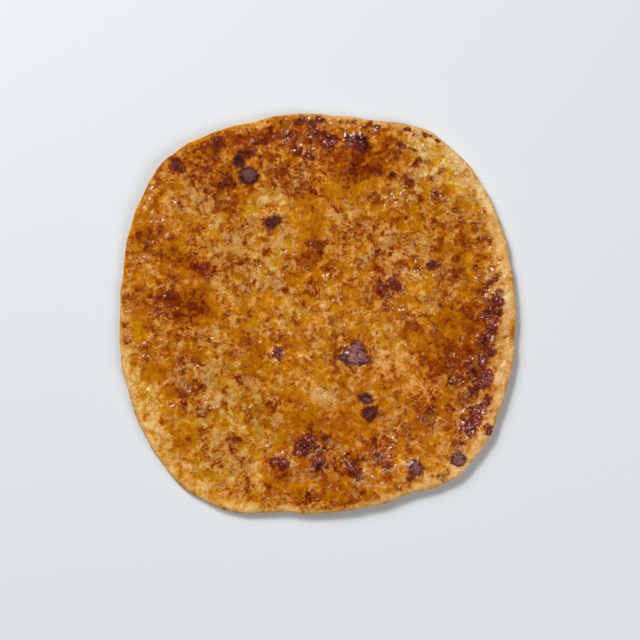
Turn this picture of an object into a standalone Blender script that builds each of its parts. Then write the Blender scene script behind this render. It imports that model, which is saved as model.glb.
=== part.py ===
"""Paratha: a pan-fried flatbread of one piece, lying flat with its browned side up.

Standalone: blender --background --python part.py. Metres, +Z up. The origin is on the surface
that the bread lies on, under the middle of its outline.

The bread is rolled by hand, so its outline is a round that leans towards a square: four soft
corners with a shallow side between each two. A section then gives it its thickness and its
rounded lip, the pan's heat curls its edge, and the heat lifts blisters out of its upper side.
"""

import math

import bmesh
import bpy
from mathutils import Vector

MM = 0.001

# Outline: how far the edge reaches from the middle, towards each direction in degrees
# anticlockwise from +X. Soft corners and the sides between them take turns.
OUTLINE = (
    (0, 98.9), (22, 101.0), (34, 104.0), (58, 107.1), (77, 100.5), (95, 101.0), (112, 102.8),
    (134, 108.7), (156, 103.4), (175, 99.3), (204, 103.3), (232, 109.9), (246, 108.0),
    (258, 101.5), (273, 99.5), (296, 101.0), (312, 107.3), (338, 101.7),
)
EDGE_RIPPLES = ((19, 0.20, 0.4), (31, 0.16, 2.1), (47, 0.10, 4.0))  # waves round, mm, phase

# Section, in millimetres
MIDDLE_THICKNESS = 5.6
EDGE_THICKNESS = 4.4
LIP_WIDTH = 2.6  # how far in from the edge the lip is rounded
SWELL_WIDTH = 42.0  # how far in from the edge the bread reaches its full thickness

# The edge curls up from the surface, most towards the last rolled corner
CURL_WIDTH = 34.0
CURL_LEAST = 0.5
CURL_MOST = 2.9
CURL_TOWARDS = math.radians(-38)
FLUTTER = ((3, 0.22, 1.0), (5, 0.30, 2.6), (8, 0.16, 0.3))  # waves round, mm, phase

# Upper side: broad waves of the filling, as wavelength, direction in degrees, height, phase
ROLLING_WAVES = ((57, 20, 0.20, 0.3), (43, 100, 0.18, 1.9), (31, 155, 0.14, 4.1), (24, 65, 0.10, 5.2))

# Blisters and dimples, as x, y, radius and lift: a dimple's lift is negative
BLISTERS = (
    (18.5, -18.0, 9.5, 1.1), (35.5, 13.5, 9.0, 0.9), (25.5, -45.5, 8.0, 0.8),
    (-34.5, 69.5, 8.5, 1.0), (-23.0, 46.5, 8.0, 0.7), (20.5, 85.0, 8.5, 0.8),
    (48.0, -76.5, 8.0, 0.9), (69.5, -72.5, 7.5, 0.7), (-70.0, 73.5, 8.0, 0.7),
    (-16.0, -75.0, 8.0, 0.8), (-4.0, -66.0, 8.5, 0.9), (17.0, -77.5, 7.5, 0.7),
    (84.5, -13.0, 9.0, 0.8), (82.0, -38.0, 8.5, 0.7), (58.0, -18.0, 12.0, 0.6),
    (50.0, 66.0, 12.0, 0.6), (1.0, -8.0, 7.0, 0.7), (-73.0, 8.0, 12.0, 0.5),
    (-12.5, -16.0, 7.5, -0.9), (30.0, 70.0, 13.0, -0.7), (-55.0, -38.0, 11.0, -0.5),
    (75.0, 35.0, 11.0, -0.5), (62.0, -50.0, 10.0, -0.5), (-80.0, -15.0, 9.0, -0.5),
)

CELLS = 52  # grid cells across the bread
LIP_RINGS = 3  # outermost rings of cells, laid round the lip

CRUST_COLOUR = (0.52, 0.24, 0.05, 1.0)  # golden brown
CRUST_ROUGHNESS = 0.45


def smooth_step(x):
    """0 below 0, 1 above 1, and an even slope at both ends."""
    x = min(max(x, 0.0), 1.0)
    return x * x * (3.0 - 2.0 * x)


def waves(terms, turn):
    """A sum of waves round the edge, at the angle turn, in metres."""
    return MM * sum(height * math.sin(count * turn + phase) for count, height, phase in terms)


def reach(turn):
    """How far the edge is from the middle, towards the angle turn: a smooth closed curve."""
    degrees = math.degrees(turn) % 360.0
    count = len(OUTLINE)
    here = max(i for i, (at, _) in enumerate(OUTLINE) if at <= degrees)
    (a0, r0), (a1, r1), (a2, r2), (a3, r3) = (
        (OUTLINE[i % count][0] + 360.0 * (i // count), OUTLINE[i % count][1])
        for i in range(here - 1, here + 3)
    )
    slope1 = (r2 - r0) / (a2 - a0)
    slope2 = (r3 - r1) / (a3 - a1)
    span = a2 - a1
    t = (degrees - a1) / span
    smooth = (
        r1 * (1 + 2 * t) * (1 - t) ** 2
        + slope1 * span * t * (1 - t) ** 2
        + r2 * t * t * (3 - 2 * t)
        - slope2 * span * t * t * (1 - t)
    )
    return smooth * MM + waves(EDGE_RIPPLES, turn)


def outline_middle(steps=720):
    """The middle of the outline's box, which becomes the origin."""
    turns = [2 * math.pi * i / steps for i in range(steps)]
    xs = [reach(turn) * math.cos(turn) for turn in turns]
    ys = [reach(turn) * math.sin(turn) for turn in turns]
    return Vector(((min(xs) + max(xs)) / 2, (min(ys) + max(ys)) / 2))


def square_to_round(x, y):
    """Where a grid point of the square from -1 to 1 lies on a disc: (share of the way out, angle)."""
    share = max(abs(x), abs(y))
    if share == 0.0:
        return 0.0, 0.0
    if abs(x) >= abs(y):
        turn = math.pi / 4 * y / x + (math.pi if x < 0 else 0.0)
    else:
        turn = math.pi / 2 - math.pi / 4 * x / y + (math.pi if y < 0 else 0.0)
    return share, turn


def section(share, edge):
    """How far in from the edge a ring lies, and its share of the lip's full height there."""
    flat_share = 1.0 - 2.0 * LIP_RINGS / CELLS
    lip = LIP_WIDTH * MM
    if share <= flat_share:
        return edge - (edge - lip) * share / flat_share, 1.0
    lean = (share - flat_share) / (1.0 - flat_share) * math.pi / 2
    return lip * (1.0 - math.sin(lean)), math.cos(lean)


def curl(inset, turn):
    """How high the underside is off the surface: nothing but for a band along the edge."""
    towards = (1.0 + math.cos(turn - CURL_TOWARDS)) / 2.0
    highest = MM * (CURL_LEAST + (CURL_MOST - CURL_LEAST) * towards**2) + waves(FLUTTER, turn)
    return max(highest, 0.0) * smooth_step(1.0 - inset / (CURL_WIDTH * MM)) ** 1.5


def upper_relief(x, y):
    """The upper side's broad waves, blisters and dimples, in metres."""
    height = 0.0
    for length, direction, rise, phase in ROLLING_WAVES:
        way = math.radians(direction)
        along = (x * math.cos(way) + y * math.sin(way)) / (length * MM)
        height += rise * math.sin(2 * math.pi * along + phase)
    for centre_x, centre_y, radius, lift in BLISTERS:
        apart = math.hypot(x - centre_x * MM, y - centre_y * MM) / (radius * MM)
        height += lift * smooth_step(1.0 - apart)
    return height * MM


def bread_point(x, y, upper):
    """Where a grid point lies on the upper or the lower side of the bread."""
    share, turn = square_to_round(x, y)
    edge = reach(turn)
    inset, fullness = section(share, edge)
    out = edge - inset
    place_x = out * math.cos(turn)
    place_y = out * math.sin(turn)

    inwards = smooth_step(inset / (SWELL_WIDTH * MM))
    thickness = MM * (EDGE_THICKNESS + (MIDDLE_THICKNESS - EDGE_THICKNESS) * inwards)
    level = curl(inset, turn)
    half = thickness / 2
    if not upper:
        return Vector((place_x, place_y, level + half * (1.0 - fullness)))
    off_the_lip = smooth_step(inset / (4 * LIP_WIDTH * MM))
    relief = upper_relief(place_x, place_y) * off_the_lip
    return Vector((place_x, place_y, level + half * (1.0 + fullness) + relief))


def make_bread():
    """Two grids, one shaped as each side of the bread, joined along the edge that they share."""
    mesh = bmesh.new()
    middle = outline_middle().to_3d()
    for upper in (True, False):
        grid = bmesh.ops.create_grid(mesh, x_segments=CELLS, y_segments=CELLS, size=1.0)
        for vert in grid["verts"]:
            vert.co = bread_point(vert.co.x, vert.co.y, upper) - middle
        if not upper:
            faces = {face for vert in grid["verts"] for face in vert.link_faces}
            bmesh.ops.reverse_faces(mesh, faces=list(faces))
    bmesh.ops.remove_doubles(mesh, verts=mesh.verts, dist=0.01 * MM)

    # The flat spot that the bread rests on needs no grid, so it becomes one face
    resting = [f for f in mesh.faces if f.normal.z < -0.5 and all(v.co.z < 1e-9 for v in f.verts)]
    bmesh.ops.dissolve_faces(mesh, faces=resting)

    data = bpy.data.meshes.new("paratha")
    mesh.to_mesh(data)
    mesh.free()
    data.shade_smooth()
    return bpy.data.objects.new("paratha", data)


def crust_material():
    material = bpy.data.materials.new("golden_crust")
    material.use_nodes = True
    shader = material.node_tree.nodes["Principled BSDF"]
    shader.inputs["Base Color"].default_value = CRUST_COLOUR
    shader.inputs["Roughness"].default_value = CRUST_ROUGHNESS
    shader.inputs["Metallic"].default_value = 0.0
    return material


def main():
    for old in list(bpy.data.objects):
        bpy.data.objects.remove(old)
    part = bpy.data.collections.new("paratha_flatbread")
    bpy.context.scene.collection.children.link(part)
    bread = make_bread()
    bread.data.materials.append(crust_material())
    part.objects.link(bread)


main()
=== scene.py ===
# %% [markdown]
# # A pan-fried paratha
#
# This lesson dresses a plain flatbread solid as food: dough, clarified butter, toasted freckles and
# scorched blisters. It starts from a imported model, which is loaded as a fixed frame. Everything is in
# metres, with +Z up and the origin on the surface that the bread lies on.

# %% Load the frame
import math
from functools import partialmethod

import bmesh
import bpy
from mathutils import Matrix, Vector


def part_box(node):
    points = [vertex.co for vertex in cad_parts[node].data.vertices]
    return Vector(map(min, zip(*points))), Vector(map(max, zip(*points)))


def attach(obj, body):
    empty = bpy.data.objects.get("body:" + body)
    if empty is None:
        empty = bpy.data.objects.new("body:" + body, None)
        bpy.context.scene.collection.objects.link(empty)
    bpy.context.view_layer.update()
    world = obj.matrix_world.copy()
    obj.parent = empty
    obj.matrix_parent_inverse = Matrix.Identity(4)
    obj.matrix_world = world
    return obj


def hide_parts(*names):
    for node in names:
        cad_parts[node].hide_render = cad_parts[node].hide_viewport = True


MM = 0.001
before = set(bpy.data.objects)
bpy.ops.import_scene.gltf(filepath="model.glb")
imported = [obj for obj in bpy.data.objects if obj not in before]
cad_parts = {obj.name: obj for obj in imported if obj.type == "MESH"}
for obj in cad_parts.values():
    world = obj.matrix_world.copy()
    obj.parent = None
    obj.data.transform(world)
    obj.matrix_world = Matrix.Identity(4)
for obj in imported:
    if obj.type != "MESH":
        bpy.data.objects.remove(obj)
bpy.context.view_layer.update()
low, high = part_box("paratha")
print("CAD box, mm:", [round(side / MM, 1) for side in high - low])


def new_object(name, data):
    """An object of this data, in the scene."""
    made = bpy.data.objects.new(name, data)
    bpy.context.scene.collection.objects.link(made)
    return made

# %% [markdown]
# ## The rolled dough
#
# A paratha is rolled by hand, so its outline is a round that leans towards a square: four soft corners
# with a shallow side between each two. It could be a flattened sphere, but then the edge would be a
# knife edge and the outline a perfect circle. Here the edge is a smooth curve through a few reaches,
# each a direction and how far the dough goes that way. The same reaches made the plain solid, so the
# fine skin made here lies exactly on it.

# %% The outline
OUTLINE = (  # degrees anticlockwise from +X, reach in millimetres
    (0, 98.9), (22, 101.0), (34, 104.0), (58, 107.1), (77, 100.5), (95, 101.0), (112, 102.8),
    (134, 108.7), (156, 103.4), (175, 99.3), (204, 103.3), (232, 109.9), (246, 108.0),
    (258, 101.5), (273, 99.5), (296, 101.0), (312, 107.3), (338, 101.7),
)
EDGE_RIPPLES = ((19, 0.20, 0.4), (31, 0.16, 2.1), (47, 0.10, 4.0))  # waves round, mm, phase


def smooth_step(x):
    """0 below 0, 1 above 1, and an even slope at both ends."""
    x = min(max(x, 0.0), 1.0)
    return x * x * (3.0 - 2.0 * x)


def waves(terms, turn):
    """A sum of waves round the edge, at the angle turn, in millimetres."""
    return sum(height * math.sin(count * turn + phase) for count, height, phase in terms)


def reach(turn):
    """How far the edge is from the middle towards the angle turn, in millimetres."""
    degrees = math.degrees(turn) % 360.0
    count = len(OUTLINE)
    here = max(i for i, (at, _) in enumerate(OUTLINE) if at <= degrees)
    (a0, r0), (a1, r1), (a2, r2), (a3, r3) = (
        (OUTLINE[i % count][0] + 360.0 * (i // count), OUTLINE[i % count][1])
        for i in range(here - 1, here + 3)
    )
    slope1 = (r2 - r0) / (a2 - a0)
    slope2 = (r3 - r1) / (a3 - a1)
    span = a2 - a1
    t = (degrees - a1) / span
    smooth = (
        r1 * (1 + 2 * t) * (1 - t) ** 2
        + slope1 * span * t * (1 - t) ** 2
        + r2 * t * t * (3 - 2 * t)
        - slope2 * span * t * t * (1 - t)
    )
    return smooth + waves(EDGE_RIPPLES, turn)


def outline_middle(steps=720):
    """The middle of the outline's box, which is the frame's origin."""
    turns = [2 * math.pi * i / steps for i in range(steps)]
    xs = [reach(turn) * math.cos(turn) for turn in turns]
    ys = [reach(turn) * math.sin(turn) for turn in turns]
    return Vector(((min(xs) + max(xs)) / 2, (min(ys) + max(ys)) / 2, 0.0))


MIDDLE = outline_middle()
print("middle of the outline, mm:", [round(side, 2) for side in MIDDLE])

# %% [markdown]
# ## The section
#
# Rolled dough is thickest in the middle, thins a little towards the edge and ends in a rounded lip. The
# pan's heat curls the edge off the surface, most towards one corner, and lifts blisters out of the
# upper side. Every point of the skin is worked out from these sizes and its place on the bread.

# %% The sizes of the section, in millimetres
MIDDLE_THICKNESS = 5.6
EDGE_THICKNESS = 4.4
LIP_WIDTH = 2.6
SWELL_WIDTH = 42.0
CURL_WIDTH = 34.0
CURL_LEAST = 0.5
CURL_MOST = 2.9
CURL_TOWARDS = math.radians(-38)
FLUTTER = ((3, 0.22, 1.0), (5, 0.30, 2.6), (8, 0.16, 0.3))  # waves round, mm, phase
ROLLING_WAVES = ((57, 20, 0.20, 0.3), (43, 100, 0.18, 1.9), (31, 155, 0.14, 4.1), (24, 65, 0.10, 5.2))
BLISTERS = (  # x, y, radius and lift: a dimple's lift is negative
    (18.5, -18, 9.5, 1.1), (35.5, 13.5, 9, 0.9), (25.5, -45.5, 8, 0.8), (-34.5, 69.5, 8.5, 1),
    (-23, 46.5, 8, 0.7), (20.5, 85, 8.5, 0.8), (48, -76.5, 8, 0.9), (69.5, -72.5, 7.5, 0.7),
    (-70, 73.5, 8, 0.7), (-16, -75, 8, 0.8), (-4, -66, 8.5, 0.9), (17, -77.5, 7.5, 0.7),
    (84.5, -13, 9, 0.8), (82, -38, 8.5, 0.7), (58, -18, 12, 0.6), (50, 66, 12, 0.6), (1, -8, 7, 0.7),
    (-73, 8, 12, 0.5), (-12.5, -16, 7.5, -0.9), (30, 70, 13, -0.7), (-55, -38, 11, -0.5),
    (75, 35, 11, -0.5), (62, -50, 10, -0.5), (-80, -15, 9, -0.5),
)
print("edge:", EDGE_THICKNESS, "mm thick, curled up by", CURL_LEAST, "to", CURL_MOST, "mm")

# %% The shape of the section
def square_to_round(x, y):
    """Where a grid point of the square from -1 to 1 lies on a disc: (share of the way out, angle)."""
    share = max(abs(x), abs(y))
    if share == 0.0:
        return 0.0, 0.0
    if abs(x) >= abs(y):
        turn = math.pi / 4 * y / x + (math.pi if x < 0 else 0.0)
    else:
        turn = math.pi / 2 - math.pi / 4 * x / y + (math.pi if y < 0 else 0.0)
    return share, turn


def section(share, edge, lip_share):
    """How far in from the edge a ring lies, and its share of the lip's full height there."""
    flat_share = 1.0 - lip_share
    if share <= flat_share:
        return edge - (edge - LIP_WIDTH) * share / flat_share, 1.0
    lean = (share - flat_share) / lip_share * math.pi / 2
    return LIP_WIDTH * (1.0 - math.sin(lean)), math.cos(lean)


def curl(inset, turn):
    """How high the underside is off the surface: nothing but for a band along the edge."""
    towards = (1.0 + math.cos(turn - CURL_TOWARDS)) / 2.0
    highest = CURL_LEAST + (CURL_MOST - CURL_LEAST) * towards**2 + waves(FLUTTER, turn)
    return max(highest, 0.0) * smooth_step(1.0 - inset / CURL_WIDTH) ** 1.5


def upper_relief(x, y):
    """The upper side's broad waves, blisters and dimples."""
    height = 0.0
    for length, direction, rise, phase in ROLLING_WAVES:
        way = math.radians(direction)
        along = (x * math.cos(way) + y * math.sin(way)) / length
        height += rise * math.sin(2 * math.pi * along + phase)
    for centre_x, centre_y, radius, lift in BLISTERS:
        apart = math.hypot(x - centre_x, y - centre_y) / radius
        if apart < 1.0:
            height += lift * smooth_step(1.0 - apart)
    return height


def bread_point(x, y, side, lip_share):
    """The place of a grid point on the upper (side 1) or lower (-1) skin, and its inset."""
    share, turn = square_to_round(x, y)
    edge = reach(turn)
    inset, fullness = section(share, edge, lip_share)
    out = edge - inset
    place = Vector((out * math.cos(turn), out * math.sin(turn), 0.0))
    inwards = smooth_step(inset / SWELL_WIDTH)
    half = (EDGE_THICKNESS + (MIDDLE_THICKNESS - EDGE_THICKNESS) * inwards) / 2
    place.z = curl(inset, turn) + half * (1.0 + side * fullness)
    if side > 0:
        place.z += upper_relief(place.x, place.y) * smooth_step(inset / (4 * LIP_WIDTH))
    return (place - MIDDLE) * MM, inset

# %% [markdown]
# The skin is two grids, shaped as the upper and the lower side. The upper side carries all the detail,
# so its cells are two thirds of a millimetre; the lower one has cells of two millimetres. Their edges
# have different numbers of points, and Bridge Loops closes the lip between them. Each point keeps how
# far it is from the edge and which side it is on, for the materials.

# %% The skin
UPPER_CELLS = 288
LOWER_CELLS = 96
LIP_RINGS = 5  # rings of the upper grid's cells on the rounded lip
LOWER_LIP_RINGS = 2
# The pale rim is real dough, but it is kept narrow where the lip faces the window and lamp and made
# wide at the lower right, where the lip faces away: partly painted shade and painted light.
PALE_RIM_AND_PAINTED_LIGHT = (  # degrees, how far in the pale rim reaches in millimetres
    (0, 10), (20, 9), (34, 6), (52, 5), (66, 4), (80, 2.5), (95, 1.2), (120, 0.8), (145, 0.8),
    (170, 0.8), (185, 3), (200, 9), (215, 12), (240, 12), (255, 6), (275, 3), (295, 4), (312, 9),
    (330, 9), (345, 11),
)


def pale_share(x, y, inset):
    """1 at the very edge, 0 inside the pale rim, whose width changes round the bread."""
    degrees = math.degrees(math.atan2(y, x)) % 360.0
    count = len(PALE_RIM_AND_PAINTED_LIGHT)
    here = max(i for i, (at, _) in enumerate(PALE_RIM_AND_PAINTED_LIGHT) if at <= degrees)
    start, width = PALE_RIM_AND_PAINTED_LIGHT[here]
    end, next_width = PALE_RIM_AND_PAINTED_LIGHT[(here + 1) % count]
    along = smooth_step((degrees - start) / ((end - start) % 360))
    return smooth_step(1.2 - inset / (width + (next_width - width) * along))


def add_side(mesh, cells, side, lip_share, spread=1.0):
    """One side of the bread as a grid, and the loop of edges round it."""
    inset_layer = mesh.verts.layers.float["inset"]
    upper_layer = mesh.verts.layers.float["upper"]
    pale_layer = mesh.verts.layers.float["pale"]
    made = bmesh.ops.create_grid(mesh, x_segments=cells, y_segments=cells, size=1.0)["verts"]
    for vert in made:
        x, y = vert.co.x * spread, vert.co.y * spread
        vert.co, vert[inset_layer] = bread_point(x, y, side, lip_share)
        vert[upper_layer] = float(side > 0)
        vert[pale_layer] = pale_share(vert.co.x, vert.co.y, vert[inset_layer])
    faces = list({face for vert in made for face in vert.link_faces})
    if side < 0:
        bmesh.ops.reverse_faces(mesh, faces=faces)
    return list({edge for face in faces for edge in face.edges if edge.is_boundary})


def make_skin():
    mesh = bmesh.new()
    for layer in ("inset", "upper", "pale"):
        mesh.verts.layers.float.new(layer)
    lip_share = 2.0 * LIP_RINGS / UPPER_CELLS
    lower_lip = 2.0 * LOWER_LIP_RINGS / LOWER_CELLS
    rim = add_side(mesh, UPPER_CELLS, 1, lip_share)
    rim += add_side(mesh, LOWER_CELLS, -1, lower_lip, spread=1.0 - lower_lip / 3)
    bmesh.ops.bridge_loops(mesh, edges=rim)
    data = bpy.data.meshes.new("bread_skin")
    mesh.to_mesh(data)
    open_edges = sum(edge.is_boundary for edge in mesh.edges)
    mesh.free()
    data.shade_smooth()
    print(f"skin: {len(data.polygons)} faces, {open_edges} open edges")
    return new_object("bread_skin", data)


skin = make_skin()

# %% [markdown]
# ## A short hand for node trees
#
# Blender's node trees are the same thing in Geometry Nodes and in materials: nodes, and links between
# their sockets. This small class adds one node per call, fills its inputs with a number or a link, and
# gives back its output, so that a formula reads like one.

# %% Graph, a helper for both kinds of tree
class Graph:
    def __init__(self, tree):
        self.tree = tree

    def add(self, kind, inputs=None, out=0, **settings):
        """A new node's output; its inputs are given as fill takes them."""
        node = self.tree.nodes.new(kind)
        for name, value in settings.items():
            setattr(node, name, value)
        self.fill(node, inputs or {})
        return node.outputs[out]

    def fill(self, node, inputs):
        """Fills a node's inputs, by name or number, with values or with other nodes' outputs."""
        for key, value in inputs.items():
            if isinstance(value, bpy.types.NodeSocket):
                self.tree.links.new(value, node.inputs[key])
            else:
                node.inputs[key].default_value = value

    def math(self, operation, *values, clamp=False):
        return self.add("ShaderNodeMath", dict(enumerate(values)), operation=operation, use_clamp=clamp)

    plus = partialmethod(math, "ADD")
    minus = partialmethod(math, "SUBTRACT")
    times = partialmethod(math, "MULTIPLY")
    times_plus = partialmethod(math, "MULTIPLY_ADD")
    larger = partialmethod(math, "MAXIMUM")

    def vector(self, operation, *values, out=0):
        return self.add("ShaderNodeVectorMath", dict(enumerate(values)), out, operation=operation)

    def scaled(self, vector, factor):
        return self.add("ShaderNodeVectorMath", {0: vector, "Scale": factor}, operation="SCALE")

    def step(self, value, start, end, low=0, high=1, kind="SMOOTHSTEP"):
        """A soft step: low before start, high after end."""
        inputs = {"Value": value, 1: start, 2: end, 3: low, 4: high}
        return self.add("ShaderNodeMapRange", inputs, interpolation_type=kind)

    def noise(self, place, size, detail=2, roughness=0.5, seed=0, distortion=0, out=0):
        """Cloudy noise whose lumps are about size across, in the unit of place."""
        inputs = {"Vector": place, "W": seed, "Scale": 1 / size, "Detail": detail}
        inputs |= {"Roughness": roughness, "Distortion": distortion}
        return self.add("ShaderNodeTexNoise", inputs, out, noise_dimensions="4D")

    def mix(self, factor, a, b):
        return self.add("ShaderNodeMix", {0: factor, 2: a, 3: b}, data_type="FLOAT")

    def mix_colour(self, factor, a, b, blend="MIX"):
        inputs = {0: factor, 6: a, 7: b}
        return self.add("ShaderNodeMix", inputs, 2, data_type="RGBA", blend_type=blend)

    def three_colours(self, value, first, second, colours):
        """The first colour, then the second past one soft step and the third past another."""
        under = self.mix_colour(self.step(value, *first), colours[0], colours[1])
        return self.mix_colour(self.step(value, *second), under, colours[2])

    def field(self, name):
        """What each point keeps under that name, in a material."""
        return self.add("ShaderNodeAttribute", out="Fac", attribute_name=name)

    def kept(self, name, data_type="FLOAT"):
        """What each point keeps under that name, in Geometry Nodes."""
        return self.add("GeometryNodeInputNamedAttribute", {"Name": name}, data_type=data_type)

    def keep(self, geometry, name, value, data_type="FLOAT"):
        inputs = {"Geometry": geometry, "Name": name, "Value": value}
        return self.add("GeometryNodeStoreNamedAttribute", inputs, data_type=data_type, domain="POINT")

# %% [markdown]
# ## Marks on the surface
#
# Scorches, toasted patches, pools of clarified butter and dry patches all are ovals with ragged edges.
# Each kind is a list of marks: x and y from the middle, half length and half width in millimetres,
# one or two strengths in percent (a height or depth in hundredths of a millimetre), and the turn in
# degrees, which is left out where it is 0. Painting the marks as an image would fix their sharpness;
# as lists, they stay editable.

# %% The scorches: x, y, half length, half width, how black, how high they stand, turn
SCORCHES = (
    (-70.2, 73.6, 4.2, 3.3, 85, 50, 75), (-50.3, 84.8, 3.6, 2.8, 80, 30, 70),
    (-39.8, 77, 3.9, 3.4, 90, 60, 80), (-33, 82, 4, 3.2, 60, 40, 30), (-46, 67, 3.8, 2.8, 62, 30, 30),
    (-34.6, 69.5, 3.4, 2.8, 100, 70), (-22.4, 46.6, 5.2, 3.1, 90, 70, 27), (-8.6, 97, 2.6, 1.8, 80, 40),
    (-3.8, 95.2, 3, 2.4, 60, 40, -30), (1, 97.2, 3, 1.7, 85, 30, 10), (-1.6, 89.4, 3, 2.4, 90, 50, 60),
    (-7.6, 80.6, 5.6, 3, 75, 50, -18), (6.2, 85.9, 4.3, 3.6, 90, 60, 50),
    (20.4, 85.6, 6, 4.2, 120, 50, -36), (23, 87.4, 2.2, 1.6, 110, 100, -30),
    (18, 75.2, 1.4, 1.2, 75, 10), (16.2, 71, 2.2, 1.6, 75, 10, 60), (7.6, 69.4, 1.4, 1.1, 55, 20),
    (27, 69.6, 2.3, 1.8, 75, 10), (31, 70.8, 2.2, 1.8, 70, 10), (25.8, 95.4, 2.4, 1.8, 60, 30, 60),
    (29.3, 94.6, 1.9, 1.6, 70, 30), (45.4, 92.2, 2.2, 1.4, 85, 30, -20),
    (54.2, 89.8, 3.6, 1.4, 80, 30, -30), (59.5, 86.4, 2.6, 1.2, 60, 20, -30),
    (42.4, 84.2, 3.4, 2.1, 85, 50, -35), (47.3, 82.4, 3, 1.1, 75, 30, -10),
    (54, 81.6, 4.2, 0.8, 60, 20, -5), (52.2, 76.4, 3.2, 3, 60, 30), (58.8, 70, 4.2, 2.4, 50, 30, 70),
    (37.2, 69.6, 2.3, 1.9, 85, 30), (45, 66, 5.6, 3.4, 45, 40, -62), (29.2, 57.8, 3.8, 3.4, 34, 30, 20),
    (60, 58.2, 4.6, 2.2, 60, 40, -15), (57.2, 24.6, 5, 2.2, 64, 40, 12), (36.4, 30.6, 1.5, 1.1, 80, 20),
    (36.4, 13.4, 6.6, 5.8, 76, 50, 60), (-2.4, 52.2, 1.2, 1, 70, 10),
    (18.4, -20.4, 5.8, 4.2, 90, 50, -4), (17.4, -21.4, 4.2, 1, 90, 100, 45),
    (20.6, -24, 3.2, 0.9, 90, 90, 20), (26.2, -49, 5.2, 3.8, 100, 60, 8),
    (23.8, -42.2, 4.6, 3.4, 72, 50, -20), (-20.4, -19.2, 2.9, 2.7, 105, 70),
    (-7.4, -65.3, 5.4, 4.2, 92, 70, 55), (-16.8, -74.4, 5.2, 3, 92, 70, -15),
    (0, -74.4, 5, 3.8, 74, 60, -35), (-0.6, -68, 3.8, 3, 60, 40, 30),
    (18.2, -78, 5.4, 3.2, 85, 60, -60), (30, -71.4, 4.4, 3, 52, 40, 60),
    (33.8, -75.4, 4, 2.4, 66, 50, -20), (48.8, -76.2, 3.6, 3.2, 92, 80),
    (45.6, -82, 3, 2.4, 85, 40, 30), (70.6, -72.8, 3, 2.2, 90, 70, 12), (84.6, -57.4, 3.1, 2.7, 84, 50),
    (63.2, -80.4, 5, 3.4, 55, 30, 10),
)

# %% The chain of small glossy scorches along one edge, from its top to its bottom
EDGE_CHAIN = (
    (87.5, 16.5, 4.6, 3, 70, 10, 60), (89.6, 7.2, 6.4, 3.4, 88, 10, 75),
    (85.8, 0.6, 4.4, 3.6, 90, 10, 30), (90.2, 0.2, 3.8, 2.4, 85, 10, 70),
    (86.4, -8.2, 5.8, 3.6, 90, 10, 65), (83.6, -13.4, 4.6, 3.4, 90, 10, 100),
    (86, -18, 4.4, 3, 80, 10, 60), (82, -22.6, 4.4, 2.6, 86, 10, 110),
    (76.2, -28, 4.4, 2.2, 80, 10, 120), (84.2, -31.8, 4.6, 3.4, 88, 10, 70),
    (80.2, -35.6, 4.4, 2.8, 84, 10, 20), (83.8, -43.6, 4.8, 2.6, 78, 10, 80),
    (79.6, -49.2, 5.6, 4.2, 86, 10, 60), (76.2, -55.4, 5.4, 4, 84, 10, 70),
    (76.8, -58.8, 3.8, 3.2, 80, 10, 60),
)

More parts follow.
